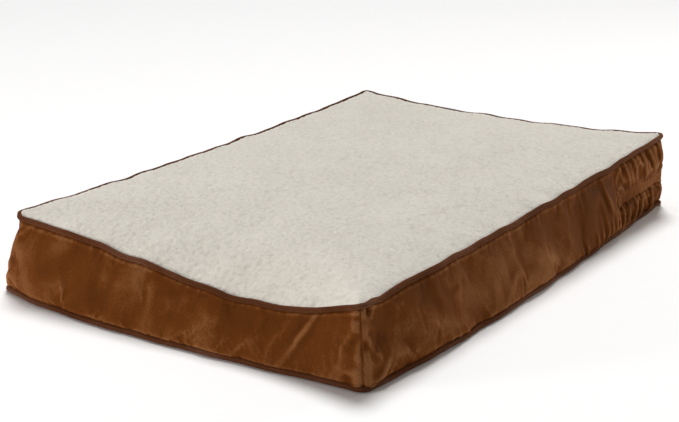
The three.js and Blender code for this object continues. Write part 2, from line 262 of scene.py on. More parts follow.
def settle(grid, held, ease, most, eased=None, more_ease=0.0):
    """Runs cloth between held points of a grid. The cloth is cut larger than its seams by ease,
    and by more_ease where eased, so it buckles as sewn cloth does. No point moves further than
    most."""
    start = grid.reshape(-1, 3)
    obj = mesh_object("cloth", start, grid_faces(*grid.shape[:2]))
    pins = [int(i) for i in np.flatnonzero(held)]
    obj.vertex_groups.new(name="held").add(pins, 1.0, "REPLACE")
    cloth = obj.modifiers.new("cloth", "CLOTH")
    cloth.settings.vertex_group_mass = "held"
    for key, value in SUEDE_WEIGHT_AND_STIFFNESS.items():
        setattr(cloth.settings, key, value)
    cloth.settings.shrink_min = -ease
    if eased is not None:
        group = obj.vertex_groups.new(name="eased")
        for i, weight in enumerate(eased.ravel()):
            group.add([i], float(weight), "REPLACE")
        cloth.settings.vertex_group_shrink = "eased"
        cloth.settings.shrink_max = -more_ease
    cloth.settings.effector_weights.gravity = 0
    for number in range(1, SETTLING + 1):
        bpy.context.scene.frame_set(number)
    apply_all(obj)
    bpy.context.scene.frame_set(1)
    moved = points_of(obj) - start
    bpy.data.objects.remove(obj)
    far = np.linalg.norm(moved, axis=1)
    kept = most * np.tanh(far / most) / np.maximum(far, 1e-9)
    return (start + moved * kept[:, None]).reshape(grid.shape)


def refine(grid):
    """A grid with points added between its own, on smooth curves through them."""
    for axis in (0, 1):
        grid = np.moveaxis(grid, axis, 0)
        longer = np.concatenate([2 * grid[:1] - grid[1:2], grid, 2 * grid[-1:] - grid[-2:-1]])
        middles = (9 * (longer[1:-2] + longer[2:-1]) - longer[:-3] - longer[3:]) / 16
        finer = np.empty((2 * len(grid) - 1, *grid.shape[1:]))
        finer[::2], finer[1::2] = grid, middles
        grid = np.moveaxis(finer, 0, axis)
    return grid


def smoothed(grid, times):
    """A grid with each point drawn towards the ones beside it."""
    for _ in range(times):
        for axis in (0, 1):
            grid = np.moveaxis(grid, axis, 0)
            longer = np.concatenate([grid[:1], grid, grid[-1:]])
            grid = np.moveaxis((longer[:-2] + 2 * grid + longer[2:]) / 4, 0, axis)
    return grid


def sheet_object(name, grid, s, thickness=CLOTH):
    """A sheet of cloth with its outer face on a grid of rows going up and columns along s. Its
    relief says how far each point stands out of the cloth around it, from -1 to 1."""
    obj = mesh_object(name, grid.reshape(-1, 3), grid_faces(*grid.shape[:2])[:, ::-1])
    _, outward = around(s)
    stands_out = ((grid - smoothed(grid, 6))[..., :2] * outward[None]).sum(axis=2) / MM
    # relief also drives the suede's painted highlight on fold crests and painted shade in fold
    # hollows
    relief = obj.data.attributes.new("relief", "FLOAT", "POINT")
    relief.data.foreach_set("value", np.tanh(stands_out * (0.6 + np.abs(stands_out))).ravel())
    apply(obj, "SOLIDIFY", thickness=thickness, offset=-1)
    return obj


# Sides

STEP = 4 * MM


def spread(first, last):
    """Places from first to last, about a step apart."""
    return np.linspace(first, last, round((last - first) / STEP) + 1)


def grid_of(s, rows):
    """A grid of points along s from rows of (out, up)."""
    return np.stack([place(s, out, up) for out, up in rows])


def moved_out(grid, s, amount):
    """The grid with its points moved straight away from the middle of the bed."""
    _, outward = around(s)
    return grid + np.dstack([amount[..., None] * outward[None], np.zeros_like(amount)])


def ridges(s, across_by, spacing, lean, seed):
    """Gathers with narrow crests and wide hollows between them, from -0.5 to about 1."""
    noise_at = creases(s + lean * across_by, 0 * s + across_by * 0.35, spacing, 60 * MM, seed)
    return 1.4 * np.clip(1 - np.abs(noise_at), 0, 1) ** 2.2 - 0.6


def cloth_rows(count):
    """Shares of the height from 0 to 1, closer together beside the seams."""
    t = np.linspace(0, 1, count)
    return np.clip(t - 0.75 * np.sin(2 * math.pi * t) / (2 * math.pi), 0, 1)


ROWS = 27
BULGE = 21 * MM
SAG = 1.5  # the larger, the lower down the sides bulge most
SIDE_HEIGHT = 104 * MM  # of the cloth between its two seams


def wall_point(s, share):
    """(out, up) of a plain side at a share of its height."""
    top = upper_level(s)
    up = LOWER_SEAM + share * (top - LOWER_SEAM)
    lower, upper = lower_out(s), upper_out(s)
    out = lower + (upper - lower) * share
    out += BULGE * share**0.5 * (1 - share) ** SAG
    out += creases(s, up, 150 * MM, 70 * MM, 3) * 3.0 * MM * np.sin(math.pi * share)
    out += creases(s, up, 38 * MM, 60 * MM, 9) * 1.2 * MM * np.sin(math.pi * share)
    return out, up


def gathered(s):
    """How strongly the lower seam is gathered: most on the right side near the zip."""
    near = past_near(s)
    return 0.25 + 0.75 * hump(s, ZIP_START - 70 * MM, 120 * MM) + 0.5 * hump(near, 0.2, 0.06)


def fold(across, width, height, share, middle, reach):
    """A fold that stands out by height, both sizes in mm, centred where across is 0 and share
    is middle."""
    return height * MM * hump(across, 0, width * MM) * hump(share, middle, reach)


ZIP_GATHERS = ((12, 0.35), (27, 0.3), (44, 0.34), (61, 0.26), (82, 0.2), (118, 0.16))


def large_folds(s, share):
    """Folds in their own places, as distance outwards, before the cloth settles."""
    near, left, before_zip = past_near(s), s - LEFT_CORNER, ZIP_START - s
    ridge = near + (62 + 48 * (1 - share)) * MM  # slants down the front, away from the corner
    out = fold(ridge, 8, 4.2, share, 0.72, 0.3)
    out += fold(ridge + 17 * MM, 13, -2.5, share, 0.7, 0.3)
    out += fold(near - 12 * MM, 7, -7, share, 0.92, 0.07)
    out += fold(near - (8 + 90 * share) * MM, 6, 4.0, share, 0.1, 0.12)
    out += fold(left - (3 + 34 * (1 - share)) * MM, 5, -2.6, share, 0.9, 0.1)
    clear = np.clip(share / 0.16, 0, 1)  # keeps the gathers off the piping
    for at, tall in ZIP_GATHERS:
        lean = before_zip - (at + 20 * share) * MM
        out += 6.0 * MM * hump(lean, 0, 5.5 * MM) * clear * np.exp(-((share / tall) ** 2))
    out += fold(before_zip - (16 + 34 * share) * MM, 7, 5.0, share, 0.6, 0.2)
    return out


UPRIGHT_SEAMS = (0, ZIP_START, ZIP_END, LEFT_CORNER, ROUND)
SEAM_TURN = 1.3 * MM  # how deep the cloth turns in at an upright seam
ALLOWANCE = 4.6 * MM  # the seam allowance's edge, which shows as a groove beside the piping


def turned_in(s):
    """How far the cloth goes in at the upright seams, so that two panels' edges meet there."""
    beside = np.min([np.abs(s - seam) for seam in UPRIGHT_SEAMS], 0)
    return SEAM_TURN * np.exp(-beside / (1.2 * MM)) + 0.4 * MM * hump(beside, 0, 4 * MM)


def groove(from_seam, depth):
    return depth * MM * hump(from_seam, ALLOWANCE, 2 * MM)


def seam_detail(s, share, first, last):
    """Puckers beside the seams and the ridge of the allowance under the cloth."""
    from_top, from_bottom = (1 - share) * SIDE_HEIGHT, share * SIDE_HEIGHT
    reach_top = (9 + 4 * ripple(s, (31, 53), 13)) * MM
    reach_bottom = (14 + 6 * ripple(s, (29, 47), 17)) * MM
    out = 1.3 * MM * ridges(s, from_top, 17 * MM, 0.3, 61) * np.exp(-from_top / reach_top)
    strength = 2.3 * MM * gathered(s)
    out += strength * ridges(s, from_bottom, 17 * MM, 0.4, 67) * np.exp(-from_bottom / reach_bottom)
    out += 0.6 * MM * hump(from_top, 9 * MM, 2.5 * MM)
    out -= groove(from_top, 1.5) + groove(from_bottom, 1.5)
    for seam in (first, last):
        beside = np.abs(s - seam)
        pucker = creases(from_bottom + 0 * s, beside, 11 * MM, 22 * MM, 73 + seam)
        out += 1.6 * MM * pucker * np.exp(-beside / (11 * MM)) * np.clip(beside / (4 * MM), 0, 1)
    fade = np.minimum(1, np.minimum(from_top, from_bottom) / (1.5 * MM))
    return out * fade - turned_in(s)


def side_panel(name, first, last):
    """A plain side between two upright seams."""
    s, shares = spread(first, last), cloth_rows(ROWS)
    rows = []
    for share in shares:
        out, up = wall_point(s, share)
        rows.append((out + large_folds(s, share), up))
    grid = grid_of(s, rows)
    row, column = np.indices(grid.shape[:2])
    held = (row == 0) | (row == ROWS - 1) | (column == 0) | (column == len(s) - 1)
    low_down = np.exp(-shares / 0.15)[:, None] * np.clip(gathered(s), 0, 1)[None]
    beside_top = 0.4 * np.exp((shares - 1) / 0.1)[:, None] + 0 * s[None]
    eased = np.clip(low_down + beside_top, 0, 1)
    grid = refine(settle(grid, held, 0.008, 5 * MM, eased, 0.045))
    fine_s = np.linspace(first, last, grid.shape[1])
    fine_shares = refine(np.column_stack([shares, shares]))[:, 0]
    detail = np.stack([seam_detail(fine_s, share, first, last) for share in fine_shares])
    return sheet_object(name, moved_out(grid, fine_s, detail), fine_s)


front_end_panel = side_panel("boxing_front_end", LEFT_CORNER, NEAR_CORNER)
right_side_panel = side_panel("boxing_right_side", 0, ZIP_START)
left_side_panel = side_panel("boxing_left_side", ZIP_END, LEFT_CORNER)

# The zip section. Where the slider runs it keeps to the frame's section, to leave it clear.

STITCH_LINE = CHAIN + 10 * MM
TAPE_FACE = -8.0 * MM  # the strips' inner edges lie on the tape here
LAP_BACK = -2.3 * MM  # middle of the placket's back layer
SET_BACK = -5.9 * MM  # the lower strip behind the placket
LIFT = 5 * MM  # of the placket's edge, at the corner
STRIP_CLOTH = 1.0 * MM  # thinner than the other panels, to leave the slider room
PLACKET_FACE = (12, 32)  # the first and last of the upper strip's rows that face out
LOWER_FACE = (0, 16)


def on_back(s):
    """1 where the slider runs, on the straight of the far end, and 0 on the long right side."""
    return np.clip((s - LONG - 25 * MM) / (20 * MM), 0, 1)


def into_wall(s, out, up):
    """A strip's out blended into the plain sides' beside the zip section's upright seams."""
    share = np.clip((up - LOWER_SEAM) / (upper_level(s) - LOWER_SEAM), 0, 1)
    beside = np.minimum(np.abs(s - ZIP_START), np.abs(s - ZIP_END))
    return out + (wall_point(s, share)[0] - out) * hump(beside, 0, 14 * MM)


def flap_edge(s):
    """Height of the placket's folded edge."""
    return FLAP_EDGE + LIFT * hump(s, LONG, 75 * MM) + 0.5 * MM * ripple(s, (37, 61), 19)


def free_of_slider(s):
    """1 where the placket may stand out, less where it must clear the slider."""
    return 1 - 0.75 * on_back(s)


def placket_back(s):
    """(out, up) from the tape's stitching down the placket's back layer to its folded edge."""
    rows = [(0 * s + TAPE_FACE, 0 * s + CHAIN + 14 * MM)]
    for share in (1, 0.7, 0.35):
        out = LAP_BACK + (TAPE_FACE - LAP_BACK) * share
        rows.append((0 * s + out, 0 * s + CHAIN + (6.8 + 1.2 * share) * MM))
    edge_up, at_corner = flap_edge(s), 1.5 * MM * corner(s)
    for share in np.linspace(1, 0, 5):
        up = edge_up + 1 * MM + share * (CHAIN + 6.6 * MM - edge_up - 1 * MM)
        out = into_wall(s, LAP_BACK + CLOTH / 2 + at_corner, up)
        rows.append((out - CLOTH - 1.6 * turned_in(s), up))
    return rows


def placket_front(s):
    """(out, up) round the placket's folded edge and up its face to the piping."""
    top, edge_up, free = upper_level(s), flap_edge(s), free_of_slider(s)
    edge = 2.2 * MM * free * (1 - 0.6 * corner(s)) + 1.5 * MM * corner(s)
    rows = []
    for share, drop in ((0.85, 0.55), (0.5, 0.85), (0.15, 0.55)):
        up = edge_up + (0.7 - drop) * MM
        out = into_wall(s, edge + 0.2 * share * LAP_BACK, up) + share * LAP_BACK
        rows.append((out, up))
    for share in cloth_rows(PLACKET_FACE[1] - PLACKET_FACE[0] + 1):
        up = edge_up + 0.6 * MM + share * (top - edge_up)
        out = edge + (upper_out(s) - edge) * share**1.3
        out += 3.5 * MM * np.sin(math.pi * share**1.3) * free * (1 - 0.7 * corner(s))
        rows.append((into_wall(s, out, up), up))
    return rows


def upper_strip_rows(s):
    return placket_back(s) + placket_front(s)


def crests(s, height, places, lean, width):
    """Narrow folds at their own places past the zip's seam, from 0 to 1."""
    past = s - ZIP_START - lean * height
    return sum(hump(past, at * MM, width) for at in places)


UPPER_FOLDS = (34, 64, 96, 128, 158)  # mm past the zip's seam
LOWER_FOLDS = (18, 38, 66, 94, 138)


def upper_strip_detail(s, height, above):
    """Folds that hang from the piping and die out above the placket's stitching."""
    free = 1 - 0.7 * on_back(s)
    shown = 1 / (1 + np.exp(-(height - STITCH_LINE - 4 * MM) / (3.5 * MM)))
    folds = ridges(s, -above, 50 * MM, 0.5, 83) + 0.2 * ridges(s, -above, 22 * MM, 0.2, 89)
    folds = 0.6 * folds + 1.2 * crests(s, above, UPPER_FOLDS, 0.35, 3.6 * MM)
    rise = np.clip(above / (6 * MM), 0, 1) * (1 - 0.5 * corner(s))
    out = 6.5 * MM * folds * shown * rise * np.exp(-above / (34 * MM)) * free
    out += 0.7 * MM * ridges(s, 0 * s, 14 * MM, 0, 97) * hump(height, FLAP_EDGE + 4 * MM, 8 * MM)
    out += -0.5 * MM * hump(height, STITCH_LINE, 1.6 * MM)
    out = np.where(height < STITCH_LINE, np.maximum(out, -0.4 * MM), out)
    return out - groove(above, 1.3) - turned_in(s)


def zip_strip(name, rows, front, held, ease, detail):
    """One strip of the zip section, and its grid with twice the rows. front gives the first and
    last of the rows that face out and take the detail."""
    s = spread(ZIP_START, ZIP_END)
    grid = grid_of(s, rows(s))
    pinned = held(grid, s)
    pinned[:, 0] = pinned[:, -1] = True
    grid = refine(settle(grid, pinned, ease, 4 * MM))
    fine_s = np.linspace(ZIP_START, ZIP_END, grid.shape[1])
    amount = np.zeros(grid.shape[:2])
    for i in range(2 * front[0], 2 * front[1] + 1):
        amount[i] = detail(fine_s, grid[i, :, 2], np.abs(grid[-1, :, 2] - grid[i, :, 2]))
    grid = moved_out(grid, fine_s, amount)
    return sheet_object(name, grid, fine_s, STRIP_CLOTH), grid


def upper_held(grid, _):
    held = grid[..., 2] < STITCH_LINE + 1 * MM
    held[: PLACKET_FACE[0]] = held[-1] = True
    return held


def lower_strip_rows(s):
    """(out, up) from the lower piping to the tape's stitching."""
    lower, loose = lower_out(s), 1 - on_back(s)
    top = CHAIN - 8 * MM
    rows = []
    for share in np.linspace(0, 1, LOWER_FACE[1] + 1):
        up = LOWER_SEAM + share * (top - LOWER_SEAM)
        back = SET_BACK + (0.4 + 1.6 * loose) * MM + 8 * MM * corner(s)
        out = lower + (back - lower) * np.clip(share / (0.6 + 0.3 * loose), 0, 1) ** 1.4
        bulge = 6.5 * MM * (1 - 0.6 * corner(s))
        out += bulge * np.sin(math.pi * np.clip(share / (0.62 + 0.28 * loose), 0, 1)) ** 0.8
        rows.append((into_wall(s, out, 0 * s + up), 0 * s + up))
    for share in (0.4, 0.8, 1):
        out = SET_BACK + (TAPE_FACE - SET_BACK) * share
        rows.append((0 * s + out, 0 * s + top + 0.6 * MM * math.sin(math.pi * share)))
    rows.append((0 * s + TAPE_FACE, 0 * s + top - 5 * MM))
    return rows


def lower_strip_detail(s, height, _):
    """Upright gathers, held in flat behind the placket where the slider's pull tab hangs."""
    loose = 1 - on_back(s)
    folds = 0.5 * ridges(s, height, 34 * MM, 0.15, 43) + 0.2 * ridges(s, height, 18 * MM, 0, 47)
    folds = folds + 1.6 * crests(s, height, LOWER_FOLDS, 0.25, 3.8 * MM) - 0.35
    rise = np.clip((height - LOWER_SEAM) / (5 * MM), 0, 1)
    behind = np.clip((height - 24 * MM) / (6 * MM), 0, 1)
    out = (2.4 + 2.1 * loose) * MM * folds * rise * (1 - behind * (1 - loose * 0.7))
    out += 1.2 * MM * np.minimum(folds - 0.4, 0) * behind * (1 - loose)
    return out - groove(height - LOWER_SEAM, 1.5) - turned_in(s)


def lower_held(grid, s):
    behind = (grid[..., 2] > 26 * MM) & (on_back(s)[None] > 0)
    held = behind | (grid[..., 2] > CHAIN - 10 * MM)
    held[0] = held[LOWER_FACE[1] + 1 :] = True
    return held


zip_upper_strip, over_zip_grid = zip_strip(
    "boxing_over_zip", upper_strip_rows, PLACKET_FACE, upper_held, 0.025, upper_strip_detail
)
zip_lower_strip, _ = zip_strip(
    "boxing_under_zip", lower_strip_rows, LOWER_FACE, lower_held, 0.03, lower_strip_detail
)

# Piping and the cord inside it


def ring(name, radius, sides, centre, wander=0.0):
    """A closed tube round the bed. centre(s) gives (out, up) of its middle."""
    s = np.linspace(0, ROUND, round(ROUND / STEP), endpoint=False)
    out, up = centre(s)
    points = []
    for angle in np.linspace(0, 2 * math.pi, sides + 1)[:-1]:
        r = radius * (1 + wander * creases(s, 0 * s + angle * 3 * MM, 14 * MM, 4 * MM, 55))
        points.append(place(s, out + r * math.cos(angle), up + r * math.sin(angle)))
    count = len(s)
    faces = [
        (i * count + j, i * count + (j + 1) % count, k * count + (j + 1) % count, k * count + j)
        for i, k in ((i, (i + 1) % sides) for i in range(sides))
        for j in range(count)
    ]
    return mesh_object(name, np.concatenate(points), faces)


def upper_seam(s):
    return upper_out(s) + PIPING_OUT, upper_level(s)


def lower_seam(s):
    return lower_out(s) + PIPING_OUT - TUCKED_UNDER, 0 * s + LOWER_SEAM


top_piping = ring("piping_top", PIPING, 14, upper_seam, 0.05)
bottom_piping = ring("piping_bottom", PIPING, 14, lower_seam, 0.05)
CORD = 2.4 * MM
top_cord = ring("piping_cord_top", CORD, 8, upper_seam)
bottom_cord = ring("piping_cord_bottom", CORD, 8, lower_seam)

# Panels across the bed are grids between four edges, each edge half of two corners.


def edge_points(side, count, inset, seam_out):
    """Points along one side, seen from above and inset from a seam."""
    s = STARTS[side] + np.linspace(0, 1, count) * LENGTHS[side]
    s[-1] -= 1e-9  # stays on this side
    return place(s, seam_out(s) - inset, 0 * s)[:, :2]


def across(columns, rows, inset, seam_out):
    """Points of a grid whose outline is inset from a seam, as (rows, columns, 2)."""
    front = edge_points(FRONT, columns, inset, seam_out)
    back = edge_points(BACK, columns, inset, seam_out)[::-1]
    right = edge_points(RIGHT, rows, inset, seam_out)
    left = edge_points(LEFT, rows, inset, seam_out)[::-1]
    a = np.linspace(0, 1, columns)[None, :, None]
    b = np.linspace(0, 1, rows)[:, None, None]
    corners = (1 - a) * (1 - b) * front[0] + a * (1 - b) * front[-1]
    corners = corners + (1 - a) * b * back[0] + a * b * back[-1]
    ends = (1 - b) * front[None] + b * back[None]
    return ends + (1 - a) * left[:, None] + a * right[:, None] - corners


def seam_height(columns, rows, reach):
    """The upper seam's height above its nominal one, carried inwards from all four sides and
    fading over reach."""
    a, b = np.linspace(0, 1, columns)[None, :], np.linspace(0, 1, rows)[:, None]
    total, weights = 0, 0
    for side, along, inwards in (
        (FRONT, a, b * LONG),
        (BACK, 1 - a, (1 - b) * LONG),
        (RIGHT, b, (1 - a) * SHORT),
        (LEFT, 1 - b, a * SHORT),
    ):
        s = STARTS[side] + np.clip(along.ravel(), 0, 1 - 1e-9) * LENGTHS[side]
        height = (upper_level(s) - UPPER_SEAM).reshape(along.shape)
        weight = 1 / (inwards + 0.5 * MM) ** 2
        total = total + height * np.exp(-((inwards / reach) ** 1.3)) * weight
        weights = weights + weight
    return total / weights


def from_edge(columns, rows):
    """How far each point of a grid across the bed is from the nearest side."""
    a, b = np.linspace(0, 1, columns)[None, :], np.linspace(0, 1, rows)[:, None]
    across_x = np.minimum(a, 1 - a) * SHORT
    across_y = np.minimum(b, 1 - b) * LONG
    return np.minimum(across_x, across_y)


FINE = 4  # upper cells to each lower one, along each side of a closed panel


def grid_sides(rows, columns, start=0):
    """The points along a grid's four sides, in order round it, numbered from start."""
    front, back = range(columns), range((rows - 1) * columns, rows * columns)
    left, right = range(0, rows * columns, columns), range(columns - 1, rows * columns, columns)
    return [[start + i for i in side] for side in (front, right, back[::-1], left[::-1])]


def closed_panel(name, over, under):
    """A closed sheet from a fine upper grid and a coarse lower one, joined round the edge."""
    rows, columns = over.shape[:2]
    few_rows, few_columns = under.shape[:2]
    count = rows * columns
    faces = [tuple(f)[::-1] for f in grid_faces(rows, columns)]
    faces += [tuple(count + i for i in f) for f in grid_faces(few_rows, few_columns)]
    coarse_sides = grid_sides(few_rows, few_columns, count)
    for fine, coarse in zip(grid_sides(rows, columns), coarse_sides):
        for i in range(len(coarse) - 1):
            stretch = fine[FINE * i : FINE * i + FINE + 1]
            faces.append((coarse[i], coarse[i + 1], *stretch[::-1]))
    return mesh_object(name, np.concatenate([over.reshape(-1, 3), under.reshape(-1, 3)]), faces)


# Sherpa top: curls of pile a few millimetres across over a soft, slightly crowned panel

PILE = 5 * MM
CROWN = 5 * MM
DIP_REACH = 110 * MM  # how far in the seam's dips are felt by what lies inside them
CELLS = (360, 240)  # along and across
LARGE_CURLS, SMALL_CURLS = 6.0 * MM, 4.0 * MM
noise.seed_set(8)  # or the curls' sway would be another each run


def curls(points, size, seed):
    """Rounded tufts of the given size, from 0 between them to 1 on top."""
    heights = []
    for x, y in points:
        spot = Vector((x / size, y / size * 0.9, seed))
        sway = noise.noise_vector(spot * 0.7) * 0.5
        near = noise.voronoi(spot + sway)[0][0]
        heights.append(max(0.0, 1 - near * near * 1.5))
    return np.array(heights)


def swell(points, size, seed):
    """Broad, low unevenness."""
    return np.array([noise.noise(Vector((x / size, y / size, seed))) for x, y in points])


def crown(columns, rows):
    """How much higher the stuffed top is than its edge."""
    return CROWN * (1 - np.exp(-from_edge(columns, rows) / (90 * MM)))


def top_panel():
    """The sherpa panel: a backing that follows the crown, and tufts, tallest at the edge."""
    rows, columns = CELLS[0] + 1, CELLS[1] + 1
    flat = across(columns, rows, 1.0 * MM, upper_out)
    spots, inward = flat.reshape(-1, 2), from_edge(columns, rows).ravel()
    backing = UPPER_SEAM + seam_height(columns, rows, DIP_REACH) + crown(columns, rows)
    tufts = 0.5 * curls(spots, LARGE_CURLS, 2) + 0.5 * curls(spots, SMALL_CURLS, 7)
    away = 1 - np.exp(-inward / (50 * MM))
    level = backing.ravel() + 0.6 * MM + PILE * (1 - np.exp(-inward / (9 * MM)))
    level += (3.0 * swell(spots, 160 * MM, 4) + 1.0 * swell(spots, 45 * MM, 9)) * MM * away
    level += (1.6 + 1.8 * np.exp(-inward / (7 * MM))) * MM * (tufts - 0.45)
    over = np.column_stack([spots, level]).reshape(rows, columns, 3)
    under = np.dstack([flat, backing - 1.4 * MM])[::FINE, ::FINE]
    obj = closed_panel("sherpa_top", over, under)
    # nap, the tufts' height, drives the sherpa's painted highlight on tuft tops and painted shade
    # between tufts
    nap = obj.data.attributes.new("nap", "FLOAT", "POINT")
    below = len(obj.data.vertices) - len(tufts)
    nap.data.foreach_set("value", np.concatenate([tufts, np.zeros(below)]))
    return obj


sherpa_top = top_panel()


def base_sheet():
    """The plain panel underneath, turned up a little at its edge to meet the piping."""
    rows, columns = 77, 49
    flat = across(columns, rows, 0.8 * MM, lower_out)
    inward = from_edge(columns, rows)
    rise = 1.6 * MM * np.exp(-inward / (3 * MM))
    obj = mesh_object(
        "base_sheet",
        np.dstack([flat, 0.05 * MM + rise]).reshape(-1, 3),
        [tuple(f)[::-1] for f in grid_faces(rows, columns)],
    )
    apply(obj, "SOLIDIFY", thickness=CLOTH, offset=1, use_even_offset=True)
    return obj


base_panel = base_sheet()

# Layers inside


FOAM_LOW, FOAM_HIGH = low("base_foam").z, high("base_foam").z
CRATE_LOW, CRATE_HIGH = low("egg_crate_foam").z, high("egg_crate_foam").z
PAD_LOW = low("fibre_fill_pad").z
CRATE_SLAB = 12 * MM  # solid foam under the valleys
CRATE_PITCH = 64 * MM  # from peak to peak along a row
LAYER_INSET = 13 * MM  # from the boxing's face


def layer(name, cells, levels):
    """A closed block. levels gives its lower and upper heights at the points of a flat grid."""
    rows, columns = cells[0] * FINE + 1, cells[1] * FINE + 1
    flat = across(columns, rows, LAYER_INSET, lambda s: 0 * s)
    lower, upper = levels(flat)
    under = np.dstack([flat, lower])[::FINE, ::FINE]
    return closed_panel(name, np.dstack([flat, upper]), under)


def softened(columns, rows, depth):
    """Edges of a cut slab, rounded a little."""
    return depth * np.exp(-from_edge(columns, rows) / (4 * MM))


def slab_levels(flat):
    rows, columns = flat.shape[:2]
    lower = FOAM_LOW + softened(columns, rows, 2 * MM)
    return lower, FOAM_HIGH - softened(columns, rows, 3 * MM)


def crate_levels(flat):
    """Peaks and valleys, squeezed where the cover's edge dips."""
    rows, columns = flat.shape[:2]
    turns = 2 * math.pi * flat / CRATE_PITCH
    peaks = 0.5 + 0.5 * np.cos(turns[..., 0]) * np.cos(turns[..., 1])
    squeezed = np.clip(1 + 0.9 * seam_height(columns, rows, DIP_REACH) / (40 * MM), 0.15, 1)
    tall = CRATE_HIGH - CRATE_LOW - CRATE_SLAB
    return 0 * peaks + CRATE_LOW, CRATE_LOW + CRATE_SLAB + tall * peaks * squeezed


def pad_levels(flat):
    """Loose wadding, from the foam's peaks to the sherpa's backing."""
    rows, columns = flat.shape[:2]
    height, rounded = seam_height(columns, rows, DIP_REACH), softened(columns, rows, 5 * MM)
    upper = UPPER_SEAM - 2.0 * MM + height + crown(columns, rows)
    lower = np.minimum(PAD_LOW + 0.9 * np.minimum(height, 0), upper - 4 * MM)
    return lower + rounded * 0.3, upper - rounded


base_foam = layer("foam_base", (40, 26), slab_levels)
egg_crate_foam = layer("foam_egg_crate", (40, 28), crate_levels)
fibre_pad = layer("fibre_pad", (36, 24), pad_levels)

# Stitching


THREAD = 0.45 * MM
STITCH_LENGTH, STITCH_PITCH = 3.0 * MM, 4.2 * MM
STITCH_SIDES = 6
# At five places along a stitch: where, how far out of the cloth, and how thick
STITCH_AT = np.array([-0.5, -0.32, 0, 0.32, 0.5]) * STITCH_LENGTH
STITCH_RISE = np.array([-0.6, 0.2, 0.45, 0.2, -0.6]) * THREAD
STITCH_THICK = np.array([0.35, 0.9, 1, 0.9, 0.35]) * THREAD


def stitch_points(line, far, middle):
    """Rows of points along one stitch, whose middle is that far along a line."""
    places = middle + STITCH_AT
    spots = np.column_stack([np.interp(places, far, line[:, axis]) for axis in range(3)])
    onward = spots[-1] - spots[0]
    onward /= np.linalg.norm(onward)
    out = np.array([onward[1], -onward[0], 0])
    out /= np.linalg.norm(out)
    up = np.cross(out, onward)
    points = []
    for angle in np.linspace(0, 2 * math.pi, STITCH_SIDES + 1)[:-1]:
        away = out * math.cos(angle) + up * math.sin(angle)
        points.extend(spots + out * STITCH_RISE[:, None] + away * STITCH_THICK[:, None])
    return points


def stitch_faces(start):
    """Faces of one closed stitch, whose points are numbered from start."""
    count = len(STITCH_AT)
    faces = []
    for i in range(STITCH_SIDES):
        this, following = start + count * i, start + count * ((i + 1) % STITCH_SIDES)
        for j in range(count - 1):
            faces.append([this + j, this + j + 1, following + j + 1, following + j])
    ends = [start + count * i for i in range(STITCH_SIDES)]
    return faces + [ends, [end + count - 1 for end in ends][::-1]]


def stitches(name, line):
    """A row of raised thread stitches on a line of points that lies on the cloth."""
    far = np.concatenate([[0], np.cumsum(np.linalg.norm(np.diff(line, axis=0), axis=1))])
    points, faces = [], []
    for middle in np.arange(STITCH_PITCH, far[-1] - STITCH_PITCH, STITCH_PITCH):
        faces += stitch_faces(len(points))
        points += stitch_points(line, far, middle)
    return mesh_object(name, points, faces)


def row_at(grid, height):
    """The row of a grid whose middle is nearest a height."""
    return grid[int(np.argmin(np.abs(grid[:, grid.shape[1] // 2, 2] - height)))]


placket_face = over_zip_grid[2 * PLACKET_FACE[0] :]
placket_stitches = stitches("placket_stitching", row_at(placket_face, STITCH_LINE))


# Materials


def linear(code):
    """An sRGB hex colour as linear RGBA."""
    values = [int(code[i : i + 2], 16) / 255 for i in (1, 3, 5)]
    return (*[v / 12.92 if v <= 0.04045 else ((v + 0.055) / 1.055) ** 2.4 for v in values], 1)


def node(tree, kind, settings=None, links=None, stops=(), **properties):
    """Adds a node, sets its inputs, properties and colour stops, and links other nodes'
    outputs to its inputs."""
    made = tree.nodes.new(kind)
    for key, value in properties.items():
        setattr(made, key, value)
    for key, value in (settings or {}).items():
        made.inputs[key].default_value = value
    for key, source in (links or {}).items():
        tree.links.new(source, made.inputs[key])
    for number, (position, code) in enumerate(stops):
        if number == len(made.color_ramp.elements):
            made.color_ramp.elements.new(position)
        made.color_ramp.elements[number].position = position
        made.color_ramp.elements[number].color = linear(code)
    return made


def material(name):
    """An empty material, and the object's own coordinates."""
    made = bpy.data.materials.new(name)
    made.use_nodes = True
    tree = made.node_tree
    tree.nodes.clear()
    return made, tree, node(tree, "ShaderNodeTexCoord").outputs["Object"]


def surface(tree, settings, links, height=None, strength=0.0, depth=0.0):
    """The finished surface. Where a height is given, it stands out by depth."""
    if height is not None:
        relief = {"Strength": strength, "Distance": depth}
        bump = node(tree, "ShaderNodeBump", relief, {"Height": height})
        links = {**links, "Normal": bump.outputs["Normal"]}
    shader = node(tree, "ShaderNodeBsdfPrincipled", settings, links)
    node(tree, "ShaderNodeOutputMaterial", links={"Surface": shader.outputs["BSDF"]})


